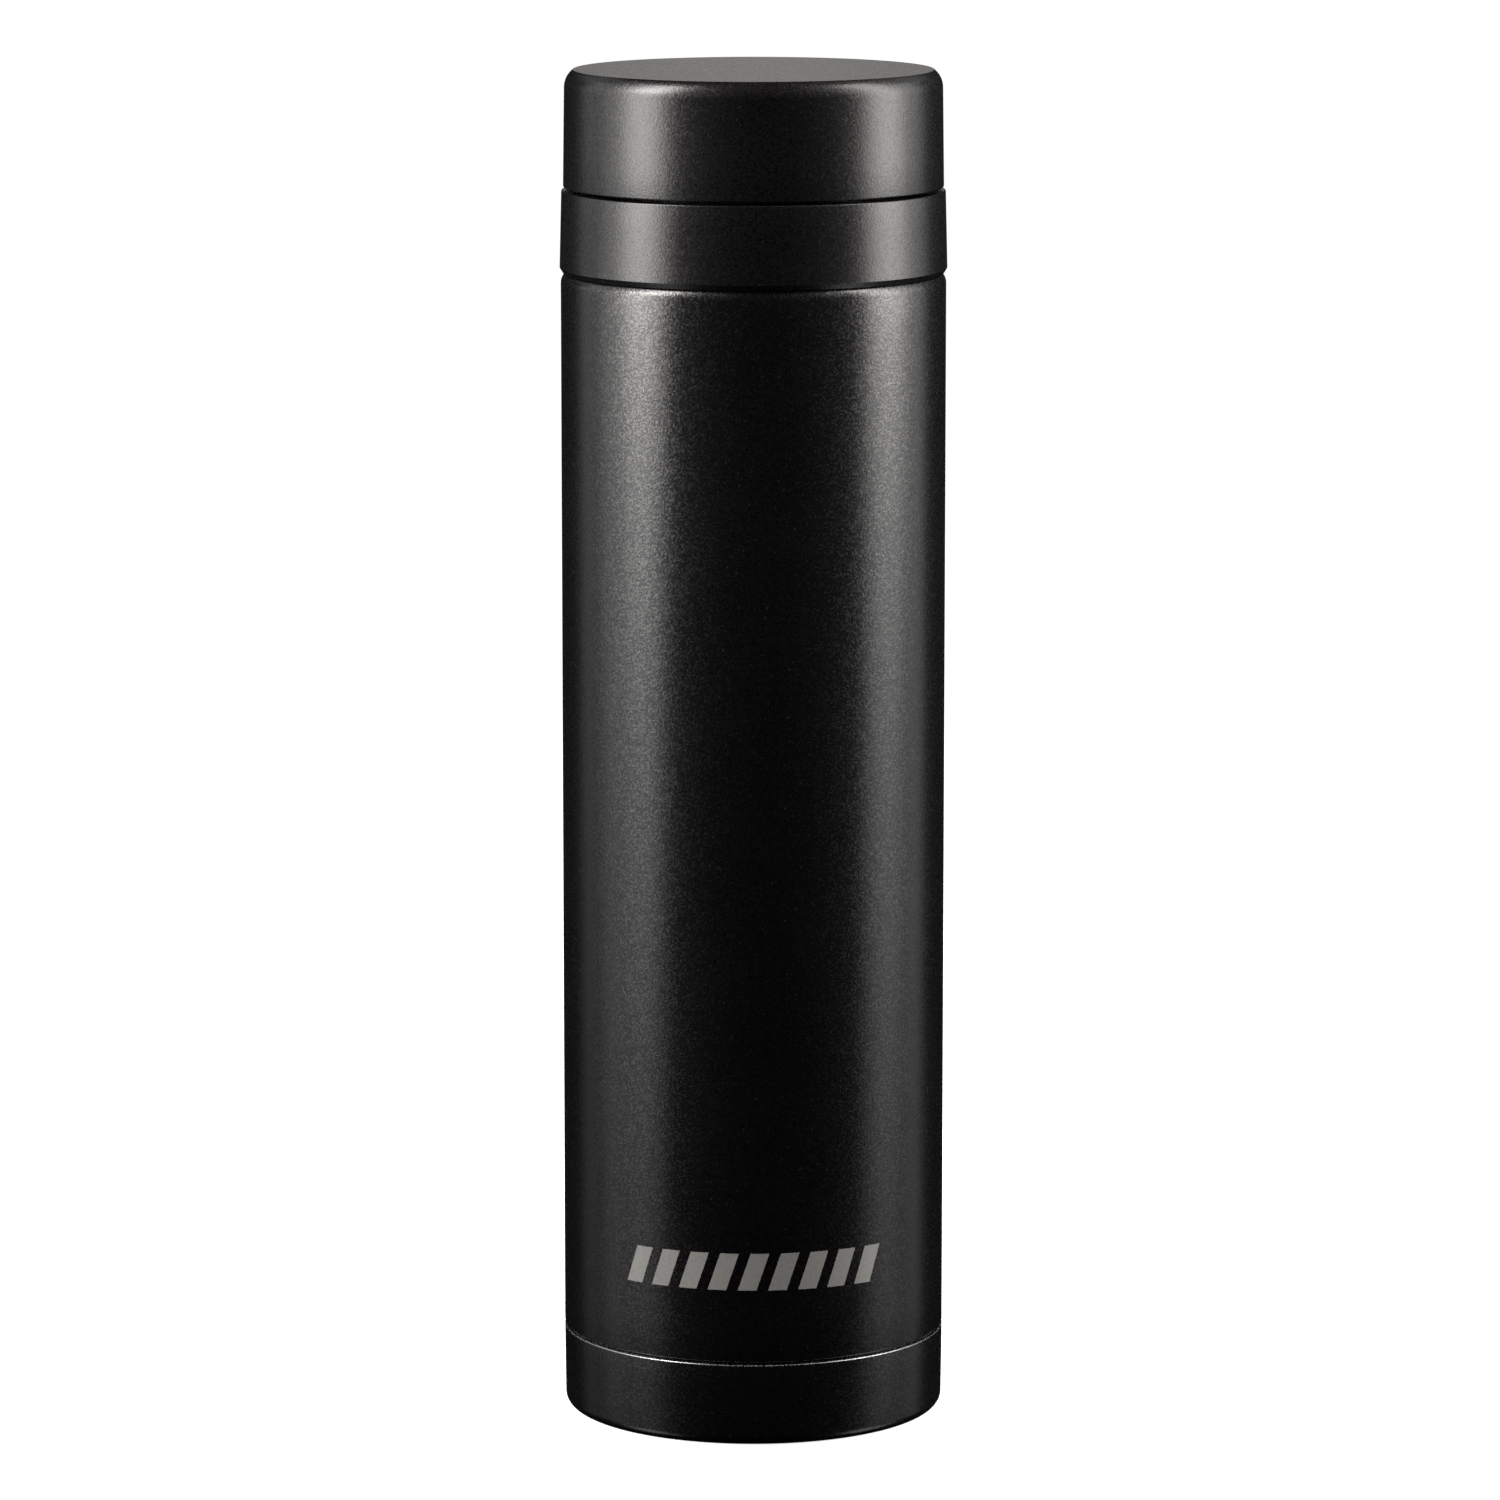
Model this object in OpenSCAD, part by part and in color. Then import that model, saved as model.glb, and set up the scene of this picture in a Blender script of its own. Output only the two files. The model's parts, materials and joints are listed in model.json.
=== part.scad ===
// Slim double-wall vacuum flask with a screw-in drinking spout and a screw cap.
// Millimetres, +Z up. The origin is the centre of the ring that the flask stands on.

/* [Overall] */
// Height of the closed flask
flask_h = 233; // [150:1:300]
// Outside diameter of the steel body
body_d = 66; // [50:1:90]

/* [Base cup] */
// Height of the cup round the foot
base_h = 14.3; // [10:0.1:30]
// Sheet thickness of the cup
base_wall = 0.5; // [0.4:0.05:0.8]
// Radius between the cup's wall and its underside
base_corner_r = 1.9; // [1.2:0.1:4]
// How much narrower the cup is at its foot than at its rim, on the radius
base_draft = 0.16; // [0:0.02:0.5]
// Open seam between the cup's rim and the body
base_seam = 0.4; // [0.2:0.1:1]
// Width of the flat ring that the flask stands on
foot_ring_w = 7.2; // [4:0.1:12]
// How far the middle of the cup's underside is raised
foot_recess = 1.2; // [0.4:0.1:2]

/* [Steel walls] */
// Sheet thickness of the outer shell and its bottom
shell_wall = 0.4; // [0.3:0.05:0.6]
// Sheet thickness of the inner vessel and its bottom
vessel_wall = 0.35; // [0.25:0.05:0.6]
// Vacuum space between the two walls
vacuum_gap = 2.6; // [1.6:0.1:4]
// Vacuum space under the inner bottom
bottom_gap = 4; // [3:0.1:8]
// Radius of the body's shoulder
shoulder_r = 2.2; // [2:0.1:3]

/* [Mouth] */
// How far the threaded neck stands in from the body's side, on the radius
neck_inset = 5; // [4.9:0.1:9]
// Height of the neck above the shoulder
neck_h = 10.2; // [9.4:0.1:11]
// Vacuum space between the two necks
neck_gap = 1.2; // [0.8:0.1:2]

/* [Screw threads] */
// Rise of every thread in one turn
thread_lead = 4; // [3.4:0.1:5]
// Height of a thread ridge above its wall
thread_h = 1; // [0.6:0.1:1.2]
// Width of a thread ridge at its root
thread_root_w = 1.7; // [1.2:0.1:2]
// Width of a thread ridge at its crest
thread_crest_w = 0.7; // [0.4:0.1:1]
// Clearance between a ridge and the wall or ridge that it meets
thread_play = 0.35; // [0.2:0.05:0.5]

/* [Drinking spout] */
// Height of the ring that shows between cap and body
collar_h = 14.15; // [13.5:0.05:24]
// How far the ring's widest edge stands out past the body
collar_proud = 0.18; // [0:0.02:1]
// How far the drinking lip stands in from the body's side, on the radius
lip_inset = 7; // [6.4:0.1:12]
// Wall thickness of the drinking lip
lip_wall = 2; // [1.6:0.1:3]
// Wall thickness of the screw skirt inside the ring, and of the plug in the mouth
skirt_wall = 1.8; // [1.4:0.1:2.2]
// How deep the spout reaches into the bottle's mouth
plug_depth = 4.5; // [3:0.1:6]

/* [Cap] */
// Height of the cap
cap_h = 20; // [18.5:0.1:40]
// Open seam between cap and ring
cap_seam = 0.5; // [0.3:0.1:1]
// How far the cap's lower edge is set back from the body, on the radius
cap_inset = 0.45; // [0.2:0.05:1]
// How much narrower the cap is at the start of its top edge, on the radius
cap_draft = 0.22; // [0:0.02:0.5]
// Radius of the cap's top edge
cap_edge_r = 3.8; // [3.2:0.1:6]
// Height of that round edge, which ends in a crease at the flat top
cap_edge_h = 3.05; // [2:0.05:3.1]
// Wall thickness of the cap
cap_wall = 1.8; // [1.4:0.1:2]
// Wall thickness of the cap's liner
liner_wall = 1.6; // [1.2:0.1:2]
// Thickness of the foam disc in the cap
foam_t = 4.6; // [2:0.1:6]

/* [Hidden] */
$fn = 128;

// Clearances between pieces
glue_gap = 0.05;      // pieces that are bonded or pressed together, on the radius
weld_gap = 0.05;      // sheet-metal pieces that are welded together, on the radius
seal_gap = 0.05;      // a rubber ring drawn unsqueezed just clears the rim it seals
part_gap = 0.1;       // loose pieces held inside another
collar_gap = 0.3;     // spout to shoulder

// Foot of the body
body_r = body_d / 2;
cup_foot_r = body_r - base_draft;
shell_foot_r = cup_foot_r - base_wall - glue_gap;
shell_foot_z = base_wall + base_corner_r;
body_z = base_h + base_seam;
rolled_edge = 0.3;    // turned-in edges at the two sides of the base seam
plate_corner_r = 2;
plate_rise = 0.8;     // straight part of the outer bottom's wall
plate_z = shell_foot_z + plate_corner_r + plate_rise;
dimple_r = 5;
dimple_rise = 1;
evacuation_r = 0.8;

// Heights at the top, from the cap down
cap_z = flask_h - cap_h;
collar_top_z = cap_z - cap_seam;
collar_z = collar_top_z - collar_h;
shoulder_rise = 0.45; // how far the shoulder reaches up inside the ring
shoulder_z = collar_z + shoulder_rise;
rim_z = shoulder_z + neck_h;

// Radii of the body, from the outside in
shell_bore_r = body_r - shell_wall;
vessel_r = shell_bore_r - vacuum_gap;
neck_r = body_r - neck_inset;
vessel_neck_r = neck_r - shell_wall - neck_gap;
neck_fillet_r = 0.8;
rim_curl_r = 0.5;
vessel_bend_out_r = 6;
vessel_bend_in_r = 4;
vessel_neck_z = shoulder_z - 5;
inner_floor_z = plate_z + dimple_rise + shell_wall + bottom_gap;
inner_corner_r = 6;
inner_seam_z = inner_floor_z + inner_corner_r + 2;
shield_t = 0.15;
shield_end_gap = 2;

// Getter and its clip, beside the evacuation hole
getter_r = 4;
getter_t = 1.8;
clip_wall = 0.25;
clip_rim = 1;
getter_x = 15;

// Threads
thread_steps = 48;    // sections in one turn
thread_sink = 0.2;    // how far a ridge is rooted in its wall
thread_fade = 0.09;   // share of a turn over which a ridge runs out
outside_turns = 1.25;
inside_turns = 1;
inside_lag = 0.5;     // an inside ridge starts this part of a turn after the outside one
ridge_offset = (thread_root_w + thread_crest_w) / 2 + thread_play / 2;
first_ridge = thread_root_w / 2 + thread_play;

// Spout
collar_foot = 0.9;    // height of the bevel under the ring
collar_foot_r = body_r - 0.38;
collar_draft = 0.31;
collar_edge = 0.25;
skirt_bore_r = neck_r + thread_h + thread_play;
skirt_r = skirt_bore_r + skirt_wall;
collar_bore_r = skirt_r + glue_gap;
collar_lip_z = shoulder_z + collar_gap;
collar_flange = 1;
skirt_z = collar_lip_z + collar_flange;
gasket_t = 0.7;
gasket_bead_r = 0.5;
spout_floor_z = rim_z + seal_gap + gasket_bead_r + gasket_t;
spout_deck_z = collar_top_z - 0.2;
mouth_gap = 0.45;     // plug to the vessel's neck, on the radius
plug_r = vessel_neck_r - vessel_wall - mouth_gap;
plug_bore_r = plug_r - skirt_wall;
lip_r = body_r - lip_inset;
lip_bore_r = lip_r - lip_wall;
neck_thread_z = shoulder_z + first_ridge + 1.4;

// Cap
cap_r = body_r - cap_inset;
cap_bore_r = cap_r - cap_draft - cap_wall;
cap_edge_z = flask_h - cap_edge_h;
cap_lower_edge = 0.3;
cap_inner_edge = 0.8;
cap_roof_z = flask_h - cap_wall;
liner_ceiling_z = cap_roof_z - part_gap - foam_t;
liner_room_z = liner_ceiling_z - liner_wall;
lip_z = liner_room_z - gasket_t - gasket_bead_r - seal_gap;
liner_bore_r = lip_r + thread_h + thread_play;
liner_r = liner_bore_r + liner_wall;
liner_z = cap_z + 0.4;
liner_flange = 1.5;
cap_thread_z = spout_deck_z + first_ridge + 0.7;

same_point = 0.001;   // points of a path that are closer than this are one point

// Points on an arc about [r, z], from one angle to another
function arc(r, z, radius, from, to, steps = 8) =
    [for (i = [0:steps]) [r + radius * cos(from + (to - from) * i / steps),
                          z + radius * sin(from + (to - from) * i / steps)]];

// Radius at height z of a round edge that leaves the wall of radius wall_r at height start_z
function edge_radius(wall_r, edge_r, start_z, z) =
    wall_r - edge_r + sqrt(edge_r * edge_r - (z - start_z) * (z - start_z));

// A path moved sideways to its left by the same distance everywhere
function unit(v) = v / norm(v);
function left(v) = [-v[1], v[0]];
function shift_at(path, i) =
    let (before = unit(path[max(i, 1)] - path[max(i, 1) - 1]),
         after = unit(path[min(i, len(path) - 2) + 1] - path[min(i, len(path) - 2)]),
         middle = unit(left(before) + left(after)))
    middle / (middle * left(before));
function moved_left(path, distance) =
    [for (i = [0:len(path) - 1]) path[i] + distance * shift_at(path, i)];
function backwards(path) = [for (i = [len(path) - 1:-1:0]) path[i]];

// A path without the points that only repeat the one before, as where one arc runs into the next
function without_repeats(path) =
    [for (i = [0:len(path) - 1]) if (i == 0 || norm(path[i] - path[max(i, 1) - 1]) > same_point) path[i]];

// Sheet metal turned about the axis: the path is one face, and the sheet lies to its left
module drawn_sheet(path, wall) {
    face = without_repeats(path);
    rotate_extrude() polygon(concat(face, backwards(moved_left(face, wall))));
}

module ring(inner_r, outer_r, low_z, high_z) {
    translate([inner_r, low_z]) square([outer_r - inner_r, high_z - low_z]);
}

// Height of a ridge at one step along it: below the wall's face at both ends, full in between
function ridge_height(i, steps) =
    let (fade = thread_fade * thread_steps,
         share = min(1, i / fade, (steps - i) / fade))
    thread_h * share - thread_sink / 2 * (1 - share);

// One helical ridge on a wall of radius wall_r. side is 1 on the outside of a wall and -1 inside a bore.
module thread_ridge(wall_r, side, start_z, start_turn, turns) {
    steps = round(turns * thread_steps);
    root_r = wall_r - side * thread_sink;
    points = [for (i = [0:steps])
        let (turn = i / thread_steps,
             angle = 360 * (start_turn + turn),
             z = start_z + thread_lead * turn,
             crest_r = wall_r + side * ridge_height(i, steps))
        for (corner = [[root_r, -thread_root_w], [crest_r, -thread_crest_w],
                       [crest_r, thread_crest_w], [root_r, thread_root_w]])
        [corner[0] * cos(angle), corner[0] * sin(angle), z + corner[1] / 2]];
    sides = [for (i = [0:steps - 1], j = [0:3])
        let (a = 4 * i + j, b = 4 * i + (j + 1) % 4)
        each [[a, b, b + 4], [a, b + 4, a + 4]]];
    last = 4 * steps;
    ends = [[0, 2, 1], [0, 3, 2], [last, last + 1, last + 2], [last, last + 2, last + 3]];
    faces = concat(sides, ends);
    polyhedron(points, side > 0 ? faces : [for (f = faces) backwards(f)]);
}

module outside_thread(wall_r, start_z) {
    thread_ridge(wall_r, 1, start_z, 0, outside_turns);
}

// The ridge that runs just under an outside thread that starts at start_z
module inside_thread(bore_r, start_z) {
    thread_ridge(bore_r, -1, start_z - ridge_offset + thread_lead * inside_lag, inside_lag, inside_turns);
}

// Body ------------------------------------------------------------------------------------------

shoulder_path = concat(
    [[body_r, body_z + rolled_edge]],
    arc(body_r - shoulder_r, shoulder_z - shoulder_r, shoulder_r, 0, 90),
    arc(neck_r + neck_fillet_r, shoulder_z + neck_fillet_r, neck_fillet_r, 270, 180, 5),
    [[neck_r, rim_z - vessel_wall]]);

module outer_shell() {
    color("#151417") {
        drawn_sheet(concat(
            [[shell_foot_r, shell_foot_z],
             [shell_foot_r, body_z],
             [body_r - rolled_edge * 0.7, body_z]],
            shoulder_path), shell_wall);
        outside_thread(neck_r, neck_thread_z);
    }
}

module base_cup() {
    ring_r = cup_foot_r - base_corner_r;
    color("#141316") drawn_sheet(concat(
        [[0, foot_recess],
         [ring_r - foot_ring_w - foot_recess, foot_recess],
         [ring_r - foot_ring_w, 0]],
        arc(ring_r, base_corner_r, base_corner_r, 270, 360),
        [[body_r, base_h - rolled_edge],
         [body_r - rolled_edge / 2, base_h]]), base_wall);
}

module outer_bottom() {
    wall_r = shell_foot_r - shell_wall - weld_gap - shell_wall;
    color("#b9babc") drawn_sheet(concat(
        [[evacuation_r, plate_z + dimple_rise],
         [dimple_r - dimple_rise, plate_z + dimple_rise],
         [dimple_r, plate_z]],
        arc(wall_r - plate_corner_r, plate_z - plate_corner_r, plate_corner_r, 90, 0),
        [[wall_r, shell_foot_z - shell_wall],
         [shell_foot_r, shell_foot_z - shell_wall]]), shell_wall);
}

// A bead of glass that fills the hole and lies under the dimple
module vacuum_seal() {
    bead_r = 3;
    bead_z = plate_z + dimple_rise;
    color("#3f5a3c") rotate_extrude() {
        ring(0, evacuation_r - weld_gap, bead_z - 0.1, bead_z + shell_wall);
        intersection() {
            translate([0, bead_z]) scale([1, 0.5]) circle(bead_r);
            ring(0, bead_r, bead_z - bead_r, bead_z);
        }
    }
}

module getter_clip() {
    bore_r = getter_r + part_gap;
    floor_z = plate_z + shell_wall;
    color("#a7a9ab") translate([getter_x, 0, floor_z]) rotate_extrude() {
        ring(0, bore_r + clip_wall + clip_rim, 0, clip_wall);
        ring(bore_r, bore_r + clip_wall, 0, clip_wall + getter_t);
    }
}

module getter() {
    color("#5c5d60")
        translate([getter_x, 0, plate_z + shell_wall + clip_wall]) cylinder(h = getter_t, r = getter_r);
}

module inner_vessel() {
    bend = acos(1 - (vessel_r - vessel_neck_r) / (vessel_bend_out_r + vessel_bend_in_r));
    bend_h = (vessel_bend_out_r + vessel_bend_in_r) * sin(bend);
    color("#c9cacb") drawn_sheet(concat(
        [[vessel_r, inner_seam_z]],
        arc(vessel_r - vessel_bend_out_r, vessel_neck_z - bend_h, vessel_bend_out_r, 0, bend),
        arc(vessel_neck_r + vessel_bend_in_r, vessel_neck_z, vessel_bend_in_r, 180 + bend, 180),
        arc(vessel_neck_r + rim_curl_r, rim_z - vessel_wall - rim_curl_r, rim_curl_r, 180, 90, 5),
        [[neck_r, rim_z - vessel_wall]]), vessel_wall);
}

module inner_bottom() {
    color("#c9cacb") drawn_sheet(concat(
        [[0, inner_floor_z]],
        arc(vessel_r - inner_corner_r, inner_floor_z + inner_corner_r, inner_corner_r, 270, 360),
        [[vessel_r, inner_seam_z]]), vessel_wall);
}

module radiation_shield() {
    bend = acos(1 - (vessel_r - vessel_neck_r) / (vessel_bend_out_r + vessel_bend_in_r));
    top_z = vessel_neck_z - (vessel_bend_out_r + vessel_bend_in_r) * sin(bend) - shield_end_gap;
    inner_r = vessel_r + part_gap;
    color("#cfd1d4") rotate_extrude() ring(inner_r, inner_r + shield_t, inner_seam_z, top_z);
}

// Spout -----------------------------------------------------------------------------------------

module spout_body() {
    tip_r = lip_wall / 2;
    color("#202022") {
        rotate_extrude() polygon(concat(
            [[plug_bore_r, rim_z - plug_depth],
             [plug_bore_r, spout_floor_z],
             [lip_bore_r, spout_deck_z]],
            arc(lip_r - tip_r, lip_z - tip_r, tip_r, 180, 0),
            [[lip_r, spout_deck_z],
             [skirt_r, spout_deck_z],
             [skirt_r, skirt_z],
             [skirt_bore_r, skirt_z],
             [skirt_bore_r, spout_floor_z],
             [plug_r, spout_floor_z],
             [plug_r, rim_z - plug_depth]]));
        outside_thread(lip_r, cap_thread_z);
        inside_thread(skirt_bore_r, neck_thread_z);
    }
}

module spout_collar() {
    wide_r = body_r + collar_proud;
    top_r = wide_r - collar_draft;
    lip_inner_r = edge_radius(body_r, shoulder_r, shoulder_z - shoulder_r, collar_z) + collar_gap;
    color("#19181a") rotate_extrude() polygon(concat(
        [[skirt_bore_r, collar_lip_z],
         [lip_inner_r, collar_lip_z],
         [lip_inner_r, collar_z],
         [collar_foot_r, collar_z],
         [wide_r, collar_z + collar_foot]],
        arc(top_r - collar_edge, collar_top_z - collar_edge, collar_edge, 0, 90, 4),
        [[collar_bore_r, collar_top_z],
         [collar_bore_r, skirt_z],
         [skirt_bore_r, skirt_z]]));
}

// A flat ring with a round sealing bead under the middle of the rim that it closes
module beaded_gasket(inner_r, outer_r, bead_at_r, top_z) {
    rotate_extrude() {
        ring(inner_r, outer_r, top_z - gasket_t, top_z);
        translate([bead_at_r, top_z - gasket_t]) circle(gasket_bead_r);
    }
}

module spout_gasket() {
    color("#d9d7d2") beaded_gasket(plug_r + part_gap, skirt_bore_r - part_gap - thread_play,
                                   neck_r - 0.9, spout_floor_z);
}

// Cap -------------------------------------------------------------------------------------------

module cap_shell() {
    top_r = cap_r - cap_draft;
    crease = asin(cap_edge_h / cap_edge_r);
    color("#171619") rotate_extrude() polygon(concat(
        arc(cap_r - cap_lower_edge, cap_z + cap_lower_edge, cap_lower_edge, 270, 360, 4),
        arc(top_r - cap_edge_r, cap_edge_z, cap_edge_r, 0, crease),
        [[0, flask_h],
         [0, cap_roof_z],
         [cap_bore_r - cap_inner_edge, cap_roof_z],
         [cap_bore_r, cap_roof_z - cap_inner_edge],
         [cap_bore_r, cap_z]]));
}

module cap_liner() {
    color("#2a2a2c") {
        rotate_extrude() {
            ring(liner_bore_r, cap_bore_r - part_gap, liner_z, liner_z + liner_flange);
            ring(liner_bore_r, liner_r, liner_z, liner_ceiling_z);
            ring(0, liner_r, liner_room_z, liner_ceiling_z);
            ring(liner_r - liner_wall, liner_r, liner_ceiling_z, cap_roof_z);
        }
        inside_thread(liner_bore_r, cap_thread_z);
    }
}

module cap_foam() {
    color("#f2f0ea")
        translate([0, 0, liner_ceiling_z]) cylinder(h = foam_t, r = liner_r - liner_wall - part_gap);
}

module cap_gasket() {
    color("#d9d7d2") beaded_gasket(lip_bore_r - 0.6, liner_bore_r - part_gap,
                                   lip_r - lip_wall / 2, liner_room_z);
}

outer_shell();
base_cup();
outer_bottom();
vacuum_seal();
getter_clip();
getter();
radiation_shield();
inner_vessel();
inner_bottom();
spout_body();
spout_collar();
spout_gasket();
cap_shell();
cap_liner();
cap_foam();
cap_gasket();
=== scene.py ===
import json
import math

import bmesh
import bpy
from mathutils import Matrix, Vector

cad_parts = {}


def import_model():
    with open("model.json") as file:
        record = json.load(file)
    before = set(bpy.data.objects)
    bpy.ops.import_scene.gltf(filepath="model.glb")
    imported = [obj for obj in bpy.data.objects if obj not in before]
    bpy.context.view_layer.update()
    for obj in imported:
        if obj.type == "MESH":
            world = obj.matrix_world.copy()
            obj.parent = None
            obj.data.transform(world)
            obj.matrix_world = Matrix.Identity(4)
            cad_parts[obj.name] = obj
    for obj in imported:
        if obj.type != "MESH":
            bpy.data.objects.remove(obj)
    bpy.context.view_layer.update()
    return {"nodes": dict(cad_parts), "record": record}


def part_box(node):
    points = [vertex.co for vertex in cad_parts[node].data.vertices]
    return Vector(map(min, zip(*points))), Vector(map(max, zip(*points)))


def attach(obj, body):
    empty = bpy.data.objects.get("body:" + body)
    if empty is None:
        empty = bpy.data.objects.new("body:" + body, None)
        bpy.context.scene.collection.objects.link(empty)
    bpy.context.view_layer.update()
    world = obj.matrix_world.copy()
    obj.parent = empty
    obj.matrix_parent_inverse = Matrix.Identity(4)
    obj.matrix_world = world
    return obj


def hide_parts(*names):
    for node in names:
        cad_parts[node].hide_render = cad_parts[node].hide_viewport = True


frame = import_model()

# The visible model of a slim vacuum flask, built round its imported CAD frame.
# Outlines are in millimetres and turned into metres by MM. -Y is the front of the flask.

MM = 0.001

# Lathe ----------------------------------------------------------------------------------------
SEGMENTS = 256            # faces round a turned piece
LONG_STEP = 6.0           # longest face along a straight wall
THREAD_STEP = 0.14        # row height on a threaded wall
ON_WALL = 1e-3            # a point this near a wall's radius lies on the wall
TINY = 1e-6               # lengths and differences under this count as none
ROUNDING = 1e-9           # error of a share that should be exactly 1
CREASE = math.radians(28)

# Sizes that the frame's boxes don't give ------------------------------------------------------

# Body and foot cup
SHELL_WALL = 0.4
SHOULDER_R = 2.2
NECK_R = 28.0
NECK_FILLET = 0.8
ROLLED_EDGE = 0.3         # rounding of both sheet edges at the lower seam
SEAM_GAP = 0.4
WORN_W = 0.19             # width of the worn line on each edge of the seam
WORN_SHARE = 0.6          # how much steel shows in that line
WORN_START = 0.04         # height over which the line sets in beside the gap
WORN_BLUR = 0.03          # half the height over which it ends
BARE_NECK = 0.6           # the paint ends this far above the shoulder
PAINT_END_BLUR = 0.1
CUP_WALL = 0.5
CUP_CORNER = 1.9
CUP_DRAFT = 0.16
CUP_RING_WIDTH = 7.2
CUP_RECESS = 1.2

# Spout and its ring
RING_LAP = 0.45           # the ring's lower edge lies this far below the shoulder's top
RING_BEVEL_R = 0.56
RING_BEVEL_H = 0.9
RING_DRAFT = 0.31
RING_EDGE = 0.25
RING_CLEARANCE = 0.3
RING_LEDGE = 1.0          # thickness of the ring's ledge under the skirt
DECK_DROP = 0.2           # the spout's deck lies this far below the ring's top
SKIRT_WALL = 1.8
LIP_WALL = 2.0
PLUG_R = 25.6             # the spout's plug in the bottle's mouth

# Cap
CAP_EDGE_R = 3.8
CAP_EDGE_H = 3.05         # height of the rounding under the crease round the flat top
CAP_DRAFT = 0.22
CAP_WALL = 1.8
CAP_LOWER_EDGE = 0.3
CAP_INNER_EDGE = 0.8
LINER_WALL = 1.6
LINER_FLANGE = 1.5

# Seals and gaps
GASKET_T = 0.7
GASKET_BEAD = 0.5
MOUTH_BEAD_IN = 0.9       # from the neck's outside to the mouth seal's bead
LIP_SEAL_IN = 0.6         # the lip seal reaches this far inside the lip
GLUE_GAP = 0.05
PART_GAP = 0.1

# Screw threads
LEAD = 4.0
THREAD_H = 1.0
THREAD_ROOT = 1.7
THREAD_CREST = 0.7
THREAD_PLAY = 0.35
THREAD_FADE = 0.09        # share of a turn in which a ridge rises at its ends
OUTSIDE_TURNS = 1.25
INSIDE_TURNS = 1.0
INSIDE_LAG = 0.5          # the inside ridge starts this many turns after the outside one
NECK_THREAD_UP = 1.4      # bare wall under the neck's thread
CAP_THREAD_UP = 0.7       # bare wall under the lip's thread

# The printed mark
BARS = 9
BAR_W = 3.2
BAR_H = 6.4
BAR_PITCH = 5.2
BAR_SLANT = 2.2
MARK_Z = 30.6
INK_PROUD = 0.025
INK_SUNK = 0.03
BAR_COLUMNS = 6
BAR_ROWS = 5


def side_of(node):
    """Outside radius, lowest and highest height of a CAD node, in millimetres."""
    low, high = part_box(node)
    return high.x / MM, low.z / MM, high.z / MM


shell_r, shell_foot_z, neck_top_z = side_of("outer_shell")
cup_r, _, cup_top_z = side_of("base_cup")
ring_r, ring_z, ring_top_z = side_of("spout_collar")
cap_r, cap_z, cap_top_z = side_of("cap_shell")
skirt_r, plug_z, lip_z = side_of("spout_body")
liner_flange_r, liner_z, roof_z = side_of("cap_liner")
gasket_r, _, spout_floor_z = side_of("spout_gasket")
lip_gasket_r, _, liner_room_z = side_of("cap_gasket")
foam_low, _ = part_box("cap_foam")

body_z = cup_top_z + SEAM_GAP
seam_z = (body_z + cup_top_z) / 2
shoulder_z = ring_z + RING_LAP
liner_ceiling_z = foam_low.z / MM
skirt_bore_r = skirt_r - SKIRT_WALL
skirt_z = shoulder_z + RING_CLEARANCE + RING_LEDGE
spout_deck_z = ring_top_z - DECK_DROP
lip_r = lip_gasket_r - THREAD_H - THREAD_PLAY + PART_GAP
lip_bore_r = lip_r - LIP_WALL
liner_bore_r = lip_r + THREAD_H + THREAD_PLAY
liner_r = liner_bore_r + LINER_WALL
first_ridge = THREAD_ROOT / 2 + THREAD_PLAY
ridge_offset = (THREAD_ROOT + THREAD_CREST) / 2 + THREAD_PLAY / 2
neck_thread_z = shoulder_z + first_ridge + NECK_THREAD_UP
cap_thread_z = spout_deck_z + first_ridge + CAP_THREAD_UP


def arc(r, z, radius, start, end, steps=12):
    """Points on an arc about (r, z), angles in degrees."""
    angles = [math.radians(start + (end - start) * i / steps) for i in range(steps + 1)]
    return [(r + radius * math.cos(a), z + radius * math.sin(a)) for a in angles]


def offset_left(path, distance):
    """The path moved sideways to its left by the same distance everywhere."""
    moved = []
    for i, point in enumerate(path):
        stretches = zip(path[max(i - 1, 0):i + 1], path[max(i, 1):i + 2])
        steps = [(Vector(b) - Vector(a)).normalized() for a, b in stretches]
        lefts = [Vector((-s.y, s.x)) for s in steps]
        middle = sum(lefts, Vector((0, 0))).normalized()
        moved.append(tuple(Vector(point) + distance * middle / middle.dot(lefts[0])))
    return moved


def sheet(path, wall):
    """Closed outline of sheet metal: path is one face, and the sheet lies to its left."""
    return path + offset_left(path, wall)[::-1]


class Thread:
    """One helical ridge on a straight wall. side is 1 on the outside of a wall and -1 in a bore."""

    def __init__(self, wall_r, side, start_z, start_turn, turns):
        self.wall_r, self.side, self.start_z = wall_r, side, start_z
        self.start_turn, self.turns = start_turn, turns

    @classmethod
    def outside(cls, wall_r, start_z):
        return cls(wall_r, 1, start_z, 0, OUTSIDE_TURNS)

    @classmethod
    def inside(cls, bore_r, start_z):
        return cls(bore_r, -1, start_z - ridge_offset + LEAD * INSIDE_LAG, INSIDE_LAG, INSIDE_TURNS)

    def span(self):
        half = THREAD_ROOT / 2 + THREAD_STEP
        return self.start_z - half, self.start_z + LEAD * self.turns + half

    def height(self, turn, z):
        """How far the ridge stands off the wall at one place."""
        best = 0.0
        for lap in range(-1, 3):
            along = turn - self.start_turn + lap
            if 0 <= along <= self.turns:
                away = abs(z - self.start_z - LEAD * along)
                share = (THREAD_ROOT / 2 - away) / ((THREAD_ROOT - THREAD_CREST) / 2)
                share = min(max(share, 0.0), 1.0)
                ends = min(1.0, along / THREAD_FADE, (self.turns - along) / THREAD_FADE)
                ends = ends * ends * (3 - 2 * ends)
                best = max(best, THREAD_H * share * ends)
        return best


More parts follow.
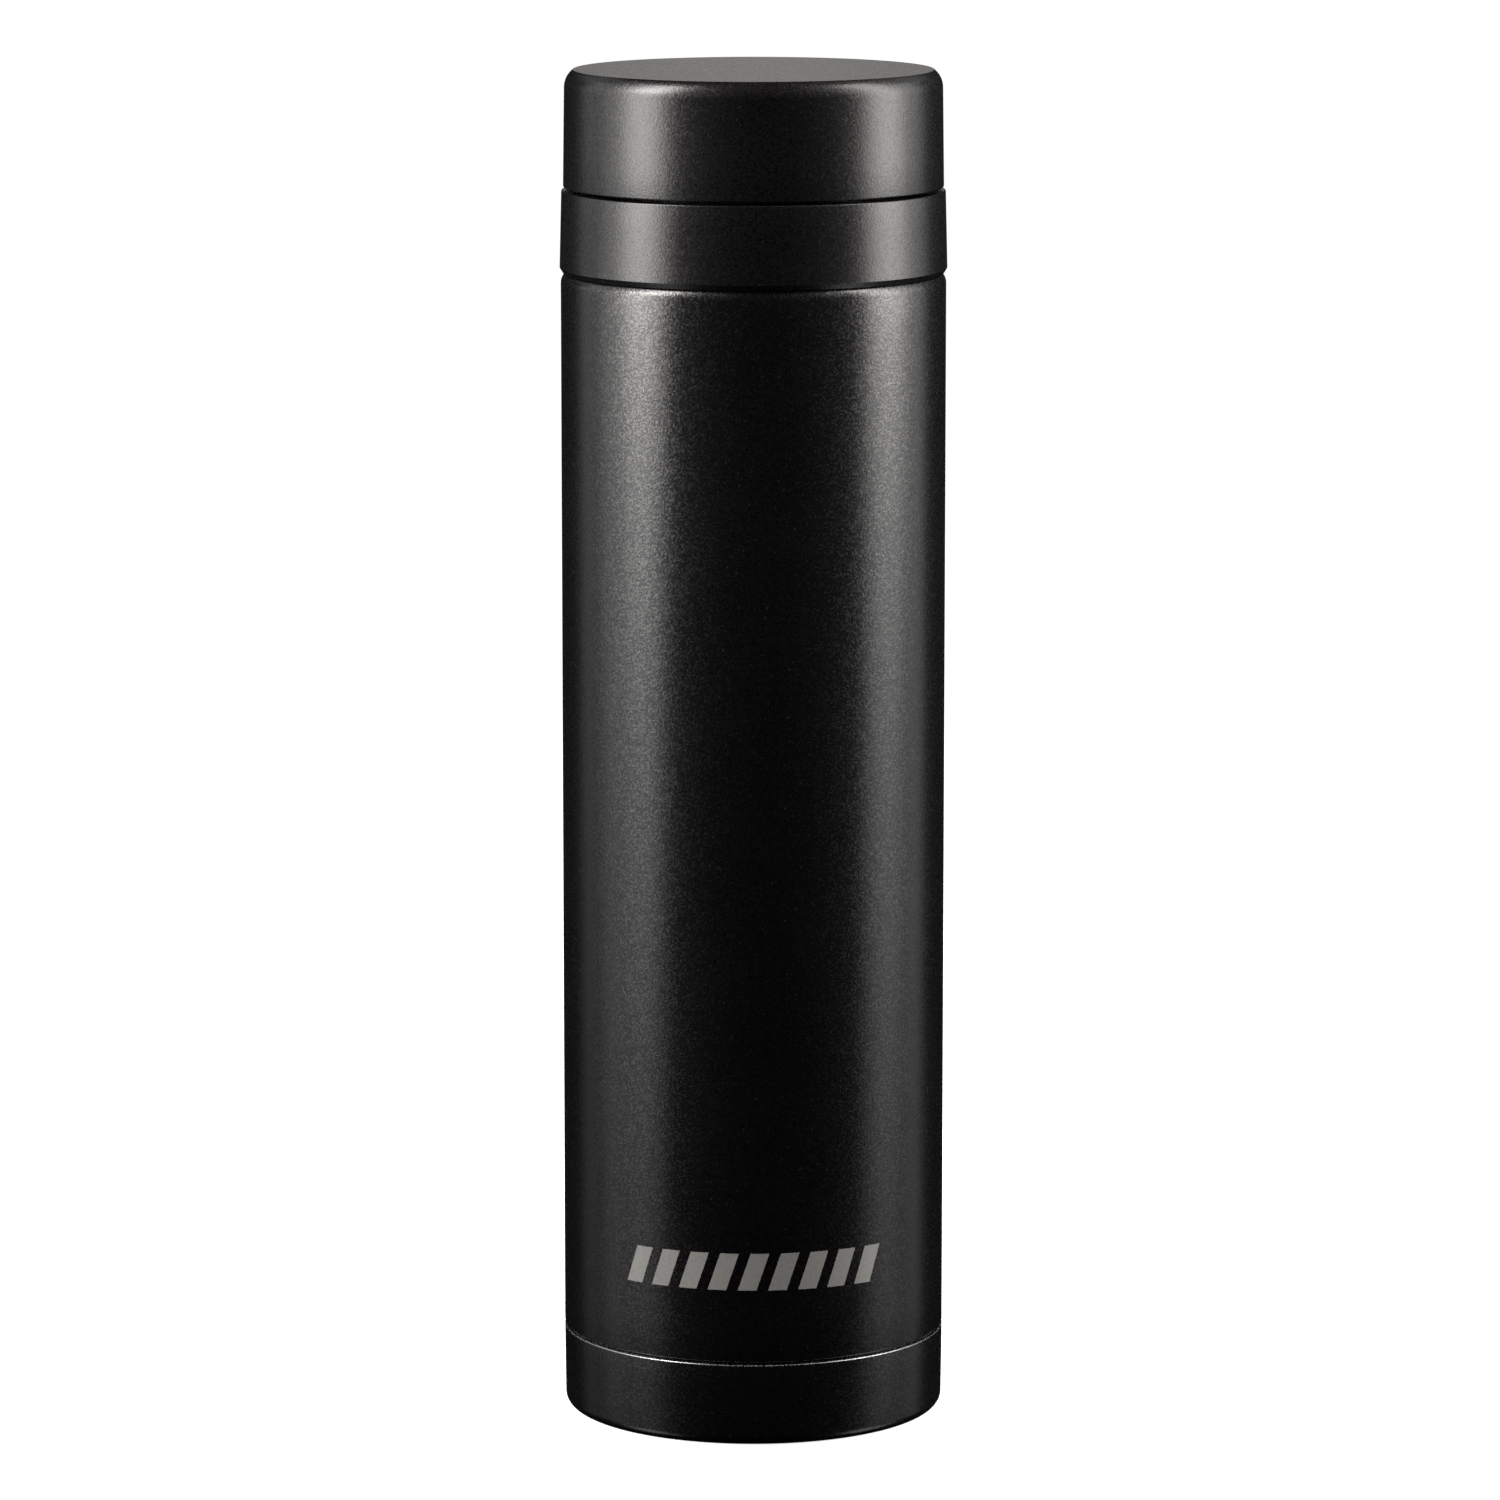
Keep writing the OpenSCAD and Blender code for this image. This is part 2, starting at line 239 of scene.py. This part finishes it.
def refined(profile, threads):
    """The outline with long straight stretches cut up, finely where a thread lies on the wall."""
    points = []
    for a, b in zip(profile, profile[1:] + profile[:1]):
        points.append(a)
        upright = abs(a[0] - b[0]) < TINY
        stops = {0.0, 1.0}
        for t in threads:
            if upright and abs(a[0] - t.wall_r) < ON_WALL:
                low, high = t.span()
                rows = round((high - low) / THREAD_STEP)
                for i in range(rows + 1):
                    share = (low + (high - low) * i / rows - a[1]) / (b[1] - a[1])
                    if 0 < share < 1:
                        stops.add(share)
        ordered = sorted(stops)
        for s, e in zip(ordered, ordered[1:]):
            length = (e - s) * math.dist(a, b)
            cuts = math.ceil(length / LONG_STEP)
            for i in range(1, cuts + 1):
                share = s + (e - s) * i / cuts
                if share < 1 - ROUNDING:
                    points.append((a[0] + (b[0] - a[0]) * share, a[1] + (b[1] - a[1]) * share))
    return points


def lathe(name, profile, threads=()):
    """A closed outline of (radius, height) points turned about the flask's axis."""
    profile = refined(profile, threads)
    mesh = bmesh.new()
    rows = []
    for r, z in profile:
        if r < TINY:
            rows.append([mesh.verts.new((0, 0, z * MM))] * SEGMENTS)
            continue
        walls = [t for t in threads if abs(r - t.wall_r) < ON_WALL and t.span()[0] <= z <= t.span()[1]]
        row = []
        for i in range(SEGMENTS):
            turn = i / SEGMENTS
            reach = r + sum(t.side * t.height(turn, z) for t in walls)
            angle = math.tau * turn
            spot = (reach * math.cos(angle) * MM, reach * math.sin(angle) * MM, z * MM)
            row.append(mesh.verts.new(spot))
        rows.append(row)
    for low, high in zip(rows, rows[1:] + rows[:1]):
        if low[0] is low[1] and high[0] is high[1]:
            continue
        for i in range(SEGMENTS):
            j = (i + 1) % SEGMENTS
            corners = []
            for v in (low[i], low[j], high[j], high[i]):
                if v not in corners:
                    corners.append(v)
            mesh.faces.new(corners)
    return finished(name, mesh)


def linked(name, data):
    """A new object in the scene for a mesh, light or camera."""
    thing = bpy.data.objects.new(name, data)
    bpy.context.scene.collection.objects.link(thing)
    return thing


def finished(name, mesh):
    """Puts a bmesh in the scene as a smooth object with creased edges."""
    bmesh.ops.recalc_face_normals(mesh, faces=mesh.faces)
    data = bpy.data.meshes.new(name)
    mesh.to_mesh(data)
    mesh.free()
    data.shade_smooth()
    data.set_sharp_from_angle(angle=CREASE)
    return linked(name, data)


# Materials -------------------------------------------------------------------------------------

NOISE_LOW = 0.3           # soft noise mostly lies between these two
NOISE_HIGH = 0.7
MIX_COLOUR_A = 6          # sockets of a mix node that is set to colours
MIX_COLOUR_B = 7
MIX_RESULT = 2
STEEL_DULL = (0.38, 0.38, 0.38)
STEEL_BRIGHT = (0.44, 0.44, 0.44)
STEEL_ROUGHNESS = 0.26
STEEL_GRAIN = 0.2         # how much of the paint's grain shows on bare steel


def scaled(colour, factor):
    return [c * factor for c in colour]


class Nodes:
    """A material's node tree, with short calls that add a node and link it."""

    def __init__(self, name):
        self.material = bpy.data.materials.new(name)
        self.material.use_nodes = True
        self.tree = self.material.node_tree
        self.shader = self.tree.nodes["Principled BSDF"]
        self.place = self.add("ShaderNodeTexCoord").outputs["Object"]

    def add(self, kind, **settings):
        node = self.tree.nodes.new(kind)
        for key, value in settings.items():
            setattr(node, key, value)
        return node

    def set(self, socket, value):
        """Links a socket to the value, or stores the value on it."""
        if isinstance(value, bpy.types.NodeSocket):
            self.tree.links.new(value, socket)
        else:
            socket.default_value = value

    def fill(self, node, **inputs):
        for key, value in inputs.items():
            self.set(node.inputs[key.replace("_", " ")], value)
        return node

    def noise(self, size_mm, detail=2.0, roughness=0.5, stretch=None):
        """Soft noise whose grains are about size_mm across."""
        place = self.place
        if stretch:
            mapping = self.fill(self.add("ShaderNodeMapping"), Vector=place, Scale=stretch)
            place = mapping.outputs["Vector"]
        node = self.fill(self.add("ShaderNodeTexNoise"), Vector=place, Scale=1 / (size_mm * MM),
                         Detail=detail, Roughness=roughness)
        return node.outputs["Fac"]

    def cells(self, size_mm, output="Distance"):
        """Random cells about size_mm across."""
        node = self.fill(self.add("ShaderNodeTexVoronoi"), Vector=self.place, Scale=1 / (size_mm * MM))
        return node.outputs[output]

    def ramp(self, value, low, high, to_low=0.0, to_high=1.0, unit=1):
        """Maps low..high of a value, in the given unit, to to_low..to_high, clamped."""
        node = self.fill(self.add("ShaderNodeMapRange"), Value=value, From_Min=low * unit,
                         From_Max=high * unit, To_Min=to_low, To_Max=to_high)
        return node.outputs["Result"]

    def spread(self, noise, to_low=0.0, to_high=1.0):
        """Maps the range that soft noise mostly fills to to_low..to_high."""
        return self.ramp(noise, NOISE_LOW, NOISE_HIGH, to_low, to_high)

    def math(self, operation, value, other=0.0):
        node = self.add("ShaderNodeMath", operation=operation)
        self.set(node.inputs[0], value)
        self.set(node.inputs[1], other)
        return node.outputs[0]

    def mixed(self, share, colour_a, colour_b):
        """The first colour where share is 0 and the second where it is 1."""
        node = self.add("ShaderNodeMix", data_type="RGBA")
        self.set(node.inputs["Factor"], share)
        for index, colour in ((MIX_COLOUR_A, colour_a), (MIX_COLOUR_B, colour_b)):
            linked_in = isinstance(colour, bpy.types.NodeSocket)
            self.set(node.inputs[index], colour if linked_in else (*colour, 1))
        return node.outputs[MIX_RESULT]

    def mottled(self, size_mm, colour, dark, light=1.0):
        """The colour in soft patches, from dark to light times itself."""
        patches = self.spread(self.noise(size_mm, 3))
        return self.mixed(patches, scaled(colour, dark), scaled(colour, light))

    def bump(self, height, depth_mm, strength=1.0, normal=None):
        node = self.fill(self.add("ShaderNodeBump"), Height=height, Distance=depth_mm * MM,
                         Strength=strength)
        if normal:
            self.set(node.inputs["Normal"], normal)
        return node.outputs["Normal"]

    def finish(self, **inputs):
        self.fill(self.shader, **inputs)
        return self.material


def pear_skin(name, binder, flake, grain_mm, roughness, sparkles=0.0, worn=False):
    """Textured paint: fine cells, the smooth ones of black binder and the rougher ones of metal flake.
    A few flakes sparkle. Worn paint shows the steel at both edges of the seam and on the neck."""
    n = Nodes(name)
    chance = n.cells(grain_mm, "Color")
    metal = n.ramp(chance, 0.5, 0.503)
    rough = n.ramp(chance, 0.3, 1, *roughness)
    black = n.mixed(n.ramp(n.noise(14, 3), 0.35, 0.65), *binder)
    flakes = n.mixed(n.ramp(chance, 0.5, 0.95), scaled(flake, 0.75), scaled(flake, 1.25))
    flakes = n.mixed(n.ramp(chance, 1 - sparkles, 1 - sparkles + 0.002), flakes, scaled(flake, 4))
    colour = n.mixed(metal, black, flakes)
    depth_share = 1.0
    if worn:
        bare = bare_share(n)
        steel = n.mixed(n.spread(n.noise(3, 3)), STEEL_DULL, STEEL_BRIGHT)
        colour = n.mixed(bare, colour, steel)
        metal = n.ramp(bare, 0, 1, metal, 1)
        rough = n.ramp(bare, 0, 1, rough, STEEL_ROUGHNESS)
        depth_share = n.ramp(bare, 0, 1, 1, STEEL_GRAIN)
    grain = n.bump(n.noise(grain_mm * 1.3, 1.0), grain_mm * 0.09, depth_share)
    return n.finish(Base_Color=colour, Roughness=rough, Metallic=metal, Normal=grain)


def bare_share(n):
    """How bare the body is at each height: worn beside the seam, and steel all through on the neck."""
    height = n.fill(n.add("ShaderNodeSeparateXYZ"), Vector=n.place).outputs["Z"]
    away = n.math("ABSOLUTE", n.math("SUBTRACT", height, seam_z * MM))
    edge = SEAM_GAP / 2
    outer = n.ramp(away, edge + WORN_W - WORN_BLUR, edge + WORN_W + WORN_BLUR, WORN_SHARE, 0, MM)
    line = n.ramp(away, edge, edge + WORN_START, 0, outer, MM)
    paint_end = shoulder_z + BARE_NECK
    return n.ramp(height, paint_end, paint_end + PAINT_END_BLUR, line, 1, MM)


def ink(name, colour):
    n = Nodes(name)
    return n.finish(Base_Color=n.mottled(0.5, colour, 0.9, 1.08), Normal=n.bump(n.noise(0.36, 1.5), 0.02),
                    Roughness=n.spread(n.noise(0.35), 0.5, 0.62))


def moulded(name, colour, roughness):
    """Satin moulded plastic with a fine spark-eroded grain and faint flow marks."""
    n = Nodes(name)
    return n.finish(Base_Color=n.mottled(20, colour, 0.85, 1.15), Normal=n.bump(n.noise(0.22, 2), 0.008),
                    Roughness=n.spread(n.noise(1.5, 3), roughness - 0.05, roughness + 0.05))


def rubber(name, colour):
    n = Nodes(name)
    n.finish(Base_Color=n.mottled(6, colour, 0.93), Roughness=n.spread(n.noise(2, 3), 0.38, 0.5),
             Normal=n.bump(n.noise(0.3, 2), 0.006))
    return n.finish(Subsurface_Weight=0.25, Subsurface_Radius=(0.002, 0.0018, 0.0016))


def turned_metal(name, colour, roughness, line_depth_mm):
    """Drawn and turned steel: fine lines round the axis, brighter and duller bands."""
    n = Nodes(name)
    lines = n.noise(1.0, 4, 0.7, stretch=(0.05, 0.05, 6))
    return n.finish(Base_Color=n.mixed(n.spread(lines), scaled(colour, 0.9), colour), Metallic=1.0,
                    Roughness=n.spread(lines, roughness - 0.05, roughness + 0.07),
                    Normal=n.bump(lines, line_depth_mm))


def crumpled_foil(name, colour):
    n = Nodes(name)
    creases = n.bump(n.cells(5), 0.25, 0.6)
    return n.finish(Base_Color=n.mottled(8, colour, 0.94), Metallic=1.0,
                    Roughness=n.spread(n.noise(3), 0.14, 0.26),
                    Normal=n.bump(n.noise(2, 3), 0.05, 0.6, creases))


def fused_glass(name, colour):
    n = Nodes(name)
    n.finish(Base_Color=n.mottled(1.5, colour, 0.8), Roughness=n.spread(n.noise(0.8), 0.04, 0.12),
             Normal=n.bump(n.noise(1.2), 0.03))
    return n.finish(Transmission_Weight=0.6, IOR=1.52)


def sintered(name, colour):
    n = Nodes(name)
    grains = n.cells(0.35)
    tint = n.mixed(n.ramp(grains, 0.1, 0.6), scaled(colour, 0.6), scaled(colour, 1.2))
    return n.finish(Base_Color=tint, Metallic=0.8, Roughness=n.ramp(grains, 0, 0.6, 0.5, 0.75),
                    Normal=n.bump(grains, 0.04))


def foam(name, colour):
    n = Nodes(name)
    beads = n.cells(2.2)
    tint = n.mixed(n.spread(beads), colour, scaled(colour, 0.82))
    return n.finish(Base_Color=tint, Roughness=n.ramp(beads, 0.2, 0.7, 0.7, 0.85),
                    Normal=n.bump(n.noise(0.3), 0.02, 0.5, n.bump(beads, 0.25)))


MATERIALS = {
    "body_paint": pear_skin("body_paint", binder=((0.0025, 0.0018, 0.0026), (0.0035, 0.003, 0.0034)),
                            flake=(0.08, 0.0785, 0.077), grain_mm=0.27, roughness=(0.21, 0.325),
                            sparkles=0.012, worn=True),
    "cap_paint": pear_skin("cap_paint", binder=((0.003, 0.0022, 0.003), (0.004, 0.0034, 0.0038)),
                           flake=(0.053, 0.052, 0.051), grain_mm=0.28, roughness=(0.24, 0.35)),
    "printed_mark": ink("printed_mark", (0.238, 0.231, 0.223)),
    "spout_plastic": moulded("spout_plastic", (0.022, 0.022, 0.024), 0.36),
    "liner_plastic": moulded("liner_plastic", (0.032, 0.032, 0.034), 0.4),
    "silicone": rubber("silicone", (0.7, 0.69, 0.66)),
    "bare_steel": turned_metal("bare_steel", (0.6, 0.6, 0.61), 0.34, 0.006),
    "polished_steel": turned_metal("polished_steel", (0.7, 0.7, 0.71), 0.2, 0.003),
    "foil": crumpled_foil("foil", (0.86, 0.87, 0.88)),
    "seal_glass": fused_glass("seal_glass", (0.2, 0.3, 0.2)),
    "getter_metal": sintered("getter_metal", (0.2, 0.2, 0.21)),
    "foam": foam("foam", (0.88, 0.87, 0.83)),
}


def place(piece, body, slot, *nodes):
    """Gives a piece its material and its body, and hides the CAD nodes that it stands for."""
    piece.data.materials.append(MATERIALS[slot])
    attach(piece, body)
    if nodes:
        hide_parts(*nodes)
    return piece


# Bottle ----------------------------------------------------------------------------------------

def body_shell():
    foot_r = shell_r - CUP_DRAFT - CUP_WALL - GLUE_GAP
    path = [(foot_r, shell_foot_z), (foot_r, body_z), (shell_r - ROLLED_EDGE, body_z)]
    path += arc(shell_r - ROLLED_EDGE, body_z + ROLLED_EDGE, ROLLED_EDGE, 270, 360, 5)[1:]
    path += arc(shell_r - SHOULDER_R, shoulder_z - SHOULDER_R, SHOULDER_R, 0, 90)
    path += arc(NECK_R + NECK_FILLET, shoulder_z + NECK_FILLET, NECK_FILLET, 270, 180, 8)
    path += [(NECK_R, neck_top_z)]
    outline = sheet(path, SHELL_WALL)
    return lathe("body_shell", outline, [Thread.outside(NECK_R, neck_thread_z)])


def foot_cup():
    ring_r_mid = cup_r - CUP_DRAFT - CUP_CORNER
    path = [(0, CUP_RECESS), (ring_r_mid - CUP_RING_WIDTH - CUP_RECESS, CUP_RECESS),
            (ring_r_mid - CUP_RING_WIDTH, 0)]
    path += arc(ring_r_mid, CUP_CORNER, CUP_CORNER, 270, 360)
    path += [(cup_r, cup_top_z - ROLLED_EDGE)]
    path += arc(cup_r - ROLLED_EDGE, cup_top_z - ROLLED_EDGE, ROLLED_EDGE, 0, 60, 5)[1:]
    return lathe("foot_cup", sheet(path, CUP_WALL))


def front_mark():
    """A plain printed row of slanted bars that follows the curve of the front."""
    columns, rows = BAR_COLUMNS, BAR_ROWS
    mesh = bmesh.new()
    for k in range(BARS):
        start = (k - (BARS - 1) / 2) * BAR_PITCH - BAR_W / 2
        layers = []
        for r in (shell_r + INK_PROUD, shell_r - INK_SUNK):
            grid = []
            for j in range(rows + 1):
                v = j / rows
                line = []
                for i in range(columns + 1):
                    along = start + BAR_W * i / columns + BAR_SLANT * (v - 0.5)
                    angle = along / shell_r - math.pi / 2
                    line.append(mesh.verts.new((r * math.cos(angle) * MM, r * math.sin(angle) * MM,
                                                (MARK_Z + BAR_H * (v - 0.5)) * MM)))
                grid.append(line)
            layers.append(grid)
        front, back = layers
        for j in range(rows):
            for i in range(columns):
                mesh.faces.new((front[j][i], front[j][i + 1], front[j + 1][i + 1], front[j + 1][i]))
                mesh.faces.new((back[j][i], back[j + 1][i], back[j + 1][i + 1], back[j][i + 1]))
        edge = [(0, i) for i in range(columns)] + [(j, columns) for j in range(rows)]
        edge += [(rows, i) for i in range(columns, 0, -1)] + [(j, 0) for j in range(rows, 0, -1)]
        for (a, b), (c, d) in zip(edge, edge[1:] + edge[:1]):
            mesh.faces.new((front[a][b], back[a][b], back[c][d], front[c][d]))
    return finished("front_mark", mesh)


# Spout -----------------------------------------------------------------------------------------

def spout_ring():
    bore_r = skirt_r + GLUE_GAP
    ledge_z = shoulder_z + RING_CLEARANCE
    below = SHOULDER_R - (shoulder_z - ring_z)
    inner_r = shell_r - SHOULDER_R + math.sqrt(SHOULDER_R ** 2 - below ** 2) + RING_CLEARANCE
    top_r = ring_r - RING_DRAFT
    outline = [(skirt_bore_r, ledge_z), (inner_r, ledge_z), (inner_r, ring_z),
               (ring_r - RING_BEVEL_R, ring_z), (ring_r, ring_z + RING_BEVEL_H)]
    outline += arc(top_r - RING_EDGE, ring_top_z - RING_EDGE, RING_EDGE, 0, 90, 5)
    outline += [(bore_r, ring_top_z), (bore_r, skirt_z), (skirt_bore_r, skirt_z)]
    return lathe("spout_ring", outline)


def drinking_spout():
    tip = LIP_WALL / 2
    plug_bore_r = PLUG_R - SKIRT_WALL
    outline = [(plug_bore_r, plug_z), (plug_bore_r, spout_floor_z), (lip_bore_r, spout_deck_z)]
    outline += arc(lip_r - tip, lip_z - tip, tip, 180, 0, 16)
    outline += [(lip_r, spout_deck_z), (skirt_r, spout_deck_z), (skirt_r, skirt_z),
                (skirt_bore_r, skirt_z), (skirt_bore_r, spout_floor_z),
                (PLUG_R, spout_floor_z), (PLUG_R, plug_z)]
    return lathe("drinking_spout", outline, [Thread.outside(lip_r, cap_thread_z),
                                             Thread.inside(skirt_bore_r, neck_thread_z)])


def beaded_gasket(name, inner_r, outer_r, bead_r, top_z):
    low = top_z - GASKET_T
    outline = [(inner_r, top_z), (inner_r, low)]
    outline += arc(bead_r, low, GASKET_BEAD, 180, 360, 10)
    outline += [(outer_r, low), (outer_r, top_z)]
    return lathe(name, outline)


# Cap -------------------------------------------------------------------------------------------

def cap_cover():
    top_r = cap_r - CAP_DRAFT
    crease = math.degrees(math.asin(CAP_EDGE_H / CAP_EDGE_R))
    bore_r = top_r - CAP_WALL
    outline = arc(cap_r - CAP_LOWER_EDGE, cap_z + CAP_LOWER_EDGE, CAP_LOWER_EDGE, 270, 360, 5)
    outline += arc(top_r - CAP_EDGE_R, cap_top_z - CAP_EDGE_H, CAP_EDGE_R, 0, crease, 16)
    outline += [(0, cap_top_z), (0, roof_z), (bore_r - CAP_INNER_EDGE, roof_z),
                (bore_r, roof_z - CAP_INNER_EDGE), (bore_r, cap_z)]
    return lathe("cap_cover", outline)


def cap_lining():
    inner_r = liner_r - LINER_WALL
    outline = [(0, liner_room_z), (liner_bore_r, liner_room_z), (liner_bore_r, liner_z),
               (liner_flange_r, liner_z), (liner_flange_r, liner_z + LINER_FLANGE),
               (liner_r, liner_z + LINER_FLANGE), (liner_r, roof_z), (inner_r, roof_z),
               (inner_r, liner_ceiling_z), (0, liner_ceiling_z)]
    return lathe("cap_lining", outline, [Thread.inside(liner_bore_r, cap_thread_z)])


place(body_shell(), "bottle", "body_paint", "outer_shell")
place(foot_cup(), "bottle", "body_paint", "base_cup")
place(front_mark(), "bottle", "printed_mark")
place(spout_ring(), "spout", "cap_paint", "spout_collar")
place(drinking_spout(), "spout", "spout_plastic", "spout_body")
place(beaded_gasket("mouth_seal", PLUG_R + PART_GAP, gasket_r, NECK_R - MOUTH_BEAD_IN, spout_floor_z),
      "spout_seal", "silicone", "spout_gasket")
place(beaded_gasket("lip_seal", lip_bore_r - LIP_SEAL_IN, lip_gasket_r, lip_r - LIP_WALL / 2,
                    liner_room_z),
      "cap_seal", "silicone", "cap_gasket")
place(cap_cover(), "cap", "cap_paint", "cap_shell")
place(cap_lining(), "cap", "liner_plastic", "cap_liner")

for part in frame["record"]["subparts"]:
    for slot in frame["nodes"][part["node"]].material_slots:
        slot.material = MATERIALS[part["material_slot"]]


# Stage, in metres ------------------------------------------------------------------------------
FLOOR_HALF = 6.0
DIM_WORLD = 0.003         # the world's strength for everything but the camera
NEAR = 0.42               # distances of the lights from the flask's axis
BACK = 0.6
FAR = 1.6
LEFT = -68                # azimuth of the two main lights
RIGHT = 84.5
WARM = (1.0, 0.97, 0.948)
COOL = (0.985, 1.0, 0.995)
AMBER = (1.0, 0.97, 0.93)
FLOOR_DARK = (0.78, 0.78, 0.78)
FLOOR_LIGHT = (0.8, 0.8, 0.8)
LENS_MM = 174.9
SENSOR_MM = 36
CAMERA_PLACE = (-0.0006, -1.2443, 0.3195)
CAMERA_TARGET = (-0.0006, 0, 0.1154)


def floor():
    """A plain pale floor. The flask doesn't mirror it, and it doesn't block the lights below it."""
    data = bpy.data.meshes.new("floor")
    corners = [(-FLOOR_HALF, -FLOOR_HALF, 0), (FLOOR_HALF, -FLOOR_HALF, 0),
               (FLOOR_HALF, FLOOR_HALF, 0), (-FLOOR_HALF, FLOOR_HALF, 0)]
    data.from_pydata(corners, [], [(0, 1, 2, 3)])
    piece = linked("floor", data)
    n = Nodes("floor_white")
    away = n.fill(n.add("ShaderNodeVectorMath", operation="LENGTH"), Vector=n.place).outputs["Value"]
    n.finish(Base_Color=n.mixed(n.spread(n.noise(80, 3)), FLOOR_DARK, FLOOR_LIGHT),
             Roughness=0.9, Emission_Color=(1, 1, 1, 1),
             Emission_Strength=n.ramp(away, 0.05, 0.5, 0.86, 1.0))
    data.materials.append(n.material)
    piece.visible_glossy = False
    piece.visible_diffuse = False
    piece.visible_shadow = False


def softbox(name, azimuth, distance, low, high, width, radiance, colour=(1, 1, 1), fade=None):
    """A soft upright light that faces the axis, brightest along its middle and dark at its sides.
    Azimuth is degrees round from the front, + to the right. low and high are the heights of its ends.
    fade is (height, length): below that height the light dims by a factor e in each such length."""
    data = bpy.data.lights.new(name, "AREA")
    data.shape = "RECTANGLE"
    data.size = width
    data.size_y = high - low
    data.color = colour
    data.energy = radiance * math.pi * width * (high - low)
    data.use_nodes = True
    tree = data.node_tree

    def step(operation, value, other=0.0):
        node = tree.nodes.new("ShaderNodeMath")
        node.operation = operation
        for socket, given in zip(node.inputs, (value, other)):
            if isinstance(given, bpy.types.NodeSocket):
                tree.links.new(given, socket)
            else:
                socket.default_value = given
        return node.outputs[0]

    split = tree.nodes.new("ShaderNodeSeparateXYZ")
    tree.links.new(tree.nodes.new("ShaderNodeNewGeometry").outputs["Parametric"], split.inputs[0])
    strength = step("SINE", step("MULTIPLY", split.outputs["X"], math.pi))
    if fade:
        lengths = step("MULTIPLY", split.outputs["Y"], (high - low) / fade[1])
        lengths = step("MINIMUM", step("ADD", lengths, (low - fade[0]) / fade[1]), 0.0)
        strength = step("MULTIPLY", strength, step("EXPONENT", lengths))
    tree.links.new(strength, tree.nodes["Emission"].inputs["Strength"])
    lamp = linked(name, data)
    angle = math.radians(azimuth)
    towards = Vector((math.sin(angle), -math.cos(angle), 0))
    lamp.location = towards * distance + Vector((0, 0, (low + high) / 2))
    lamp.rotation_mode = "QUATERNION"
    lamp.rotation_quaternion = towards.to_track_quat("Z", "Y")
    lamp.visible_camera = False


def lights():
    """A tall softbox on each side, brighter in its upper part and fading downwards. Low ones light the
    edges that face down, dim ones behind light the rims, and two high ones light the cap's top."""
    softbox("left", LEFT, NEAR, 0.15, 0.8, 0.27, 11.0, WARM)
    softbox("left_top", LEFT, NEAR, 0.36, 0.8, 0.27, 21.0, WARM)
    softbox("left_fade", LEFT, NEAR, -0.2, 0.8, 0.27, 4.5, COOL, fade=(0.13, 0.09))
    softbox("left_side", -91, NEAR, -0.2, 0.8, 0.2, 2.0, COOL, fade=(0.16, 0.16))
    softbox("left_low", -75, NEAR, -0.5, -0.22, 0.3, 1.5, COOL)
    softbox("right", RIGHT, NEAR, 0.15, 0.8, 0.3, 8.8, WARM)
    softbox("right_top", RIGHT, NEAR, 0.36, 0.8, 0.3, 26.0, WARM)
    softbox("right_fade", RIGHT, NEAR, -0.2, 0.8, 0.3, 3.6, COOL, fade=(0.13, 0.11))
    softbox("right_low", 83, NEAR, -0.5, -0.22, 0.3, 1.5, COOL)
    softbox("left_back", -114, BACK, -0.25, 0.6, 0.24, 1.15, COOL, fade=(0.25, 0.22))
    softbox("right_back", 111, BACK, -0.25, 0.6, 0.24, 2.1, COOL, fade=(0.25, 0.24))
    softbox("behind", 180, FAR, 0.26, 0.9, 0.38, 0.56, AMBER)
    softbox("high_left", -135, FAR, 0.85, 1.7, 1.4, 0.4)
    softbox("high_right", 135, FAR, 0.85, 1.7, 1.4, 0.4)


def world():
    """White where the camera sees it, and nearly dark for everything else."""
    data = bpy.data.worlds.new("studio")
    bpy.context.scene.world = data
    data.use_nodes = True
    tree = data.node_tree
    dim = tree.nodes["Background"]
    dim.inputs["Color"].default_value = (1, 1, 1, 1)
    dim.inputs["Strength"].default_value = DIM_WORLD
    bright = tree.nodes.new("ShaderNodeBackground")
    bright.inputs["Color"].default_value = (1, 1, 1, 1)
    path = tree.nodes.new("ShaderNodeLightPath")
    mix = tree.nodes.new("ShaderNodeMixShader")
    tree.links.new(path.outputs["Is Camera Ray"], mix.inputs[0])
    tree.links.new(dim.outputs[0], mix.inputs[1])
    tree.links.new(bright.outputs[0], mix.inputs[2])
    tree.links.new(mix.outputs[0], tree.nodes["World Output"].inputs["Surface"])


def camera():
    """Long lens, a little above the flask, looking down at its middle."""
    data = bpy.data.cameras.new("camera")
    data.lens = LENS_MM
    data.sensor_width = SENSOR_MM
    data.clip_start = 0.05
    data.clip_end = 30
    piece = linked("camera", data)
    piece.location = CAMERA_PLACE
    piece.rotation_mode = "QUATERNION"
    piece.rotation_quaternion = (Vector(CAMERA_TARGET) - piece.location).to_track_quat("-Z", "Y")
    bpy.context.scene.camera = piece


floor()
lights()
world()
camera()
bpy.context.scene.view_settings.view_transform = "Standard"
